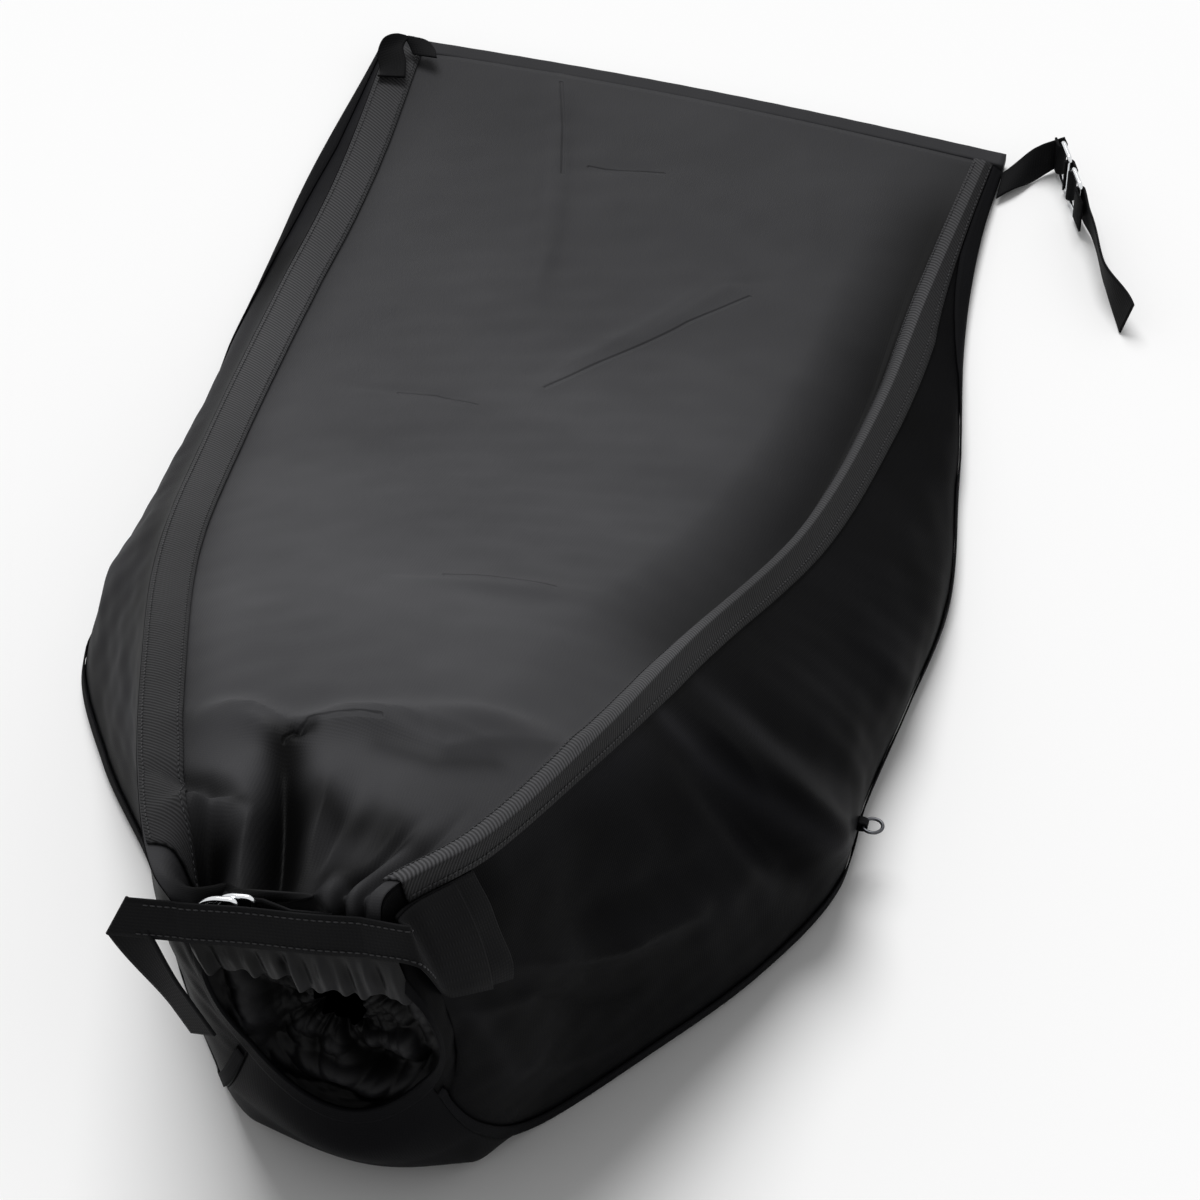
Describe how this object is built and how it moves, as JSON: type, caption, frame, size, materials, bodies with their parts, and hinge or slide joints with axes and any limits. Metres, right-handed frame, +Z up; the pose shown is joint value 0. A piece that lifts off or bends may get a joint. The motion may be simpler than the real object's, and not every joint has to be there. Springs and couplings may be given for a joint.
{
  "type": "chipper vacuum bag",
  "caption": "Collection sack of coated black cloth, gathered at its mouth with a strap and D-rings, lying empty on its flat base.",
  "frame": {"origin": "on the underside of the flat base, halfway between the two top seams", "axes": "+Z up, +Y from the gathered mouth to the wide far end, +X to the right for someone at the mouth who looks along the bag"},
  "size_m": [0.5861, 1.0483, 0.2986],
  "materials": {
    "top_cloth": "black coated woven polyester, slightly glossy",
    "side_cloth": "black coated woven polyester",
    "seam_tape": "ribbed polyester seam tape",
    "webbing": "black polypropylene webbing",
    "nickel": "bright nickel-plated wire",
    "dark_steel": "blackened steel wire"
  },
  "bodies": {
    "root": {"top_panel": "top_cloth", "bottom_panel": "side_cloth", "left_gusset": "side_cloth", "right_gusset": "side_cloth", "left_seam_tape": "seam_tape", "right_seam_tape": "seam_tape", "lower_left_binding": "seam_tape", "lower_right_binding": "seam_tape", "mouth_hem": "side_cloth", "far_end_binding": "top_cloth", "strap_anchor_patch": "webbing", "neck_strap": "webbing", "neck_ring_outer": "nickel", "neck_ring_inner": "nickel", "neck_ring_tab": "webbing", "corner_ring_inner": "nickel", "corner_ring_outer": "nickel", "corner_strap": "webbing", "corner_ring_wrap": "webbing", "corner_tail": "webbing", "left_corner_loop": "webbing", "side_ring_tab": "webbing", "side_ring": "dark_steel"}
  },
  "joints": []
}
